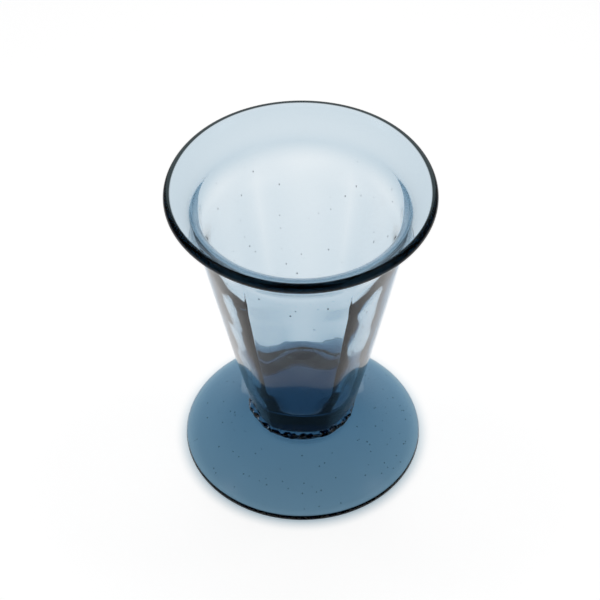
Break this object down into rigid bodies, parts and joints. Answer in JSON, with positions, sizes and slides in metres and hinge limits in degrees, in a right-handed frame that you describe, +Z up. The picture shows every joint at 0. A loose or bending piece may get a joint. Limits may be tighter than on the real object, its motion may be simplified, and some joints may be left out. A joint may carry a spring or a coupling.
{
  "type": "footed glass cup",
  "caption": "Small footed drinking glass in smoke-blue glass: panelled flared bowl with a rounded lip, joined by a wrinkled wafer to a wide domed foot.",
  "frame": {"origin": "centre of the ring the foot rests on", "axes": "+Z up along the glass's axis, out of the mouth; the middle of one side panel faces -Y"},
  "size_m": [0.06, 0.06, 0.0796],
  "materials": {
    "smoke_glass": "fire polished, transparent blue-grey tint, a few seeds and specks",
    "wafer_glass": "wrinkled and seedy, transparent blue-grey tint"
  },
  "bodies": {
    "root": {"bowl": "smoke_glass", "joining_wafer": "wafer_glass", "foot": "smoke_glass"}
  },
  "joints": []
}
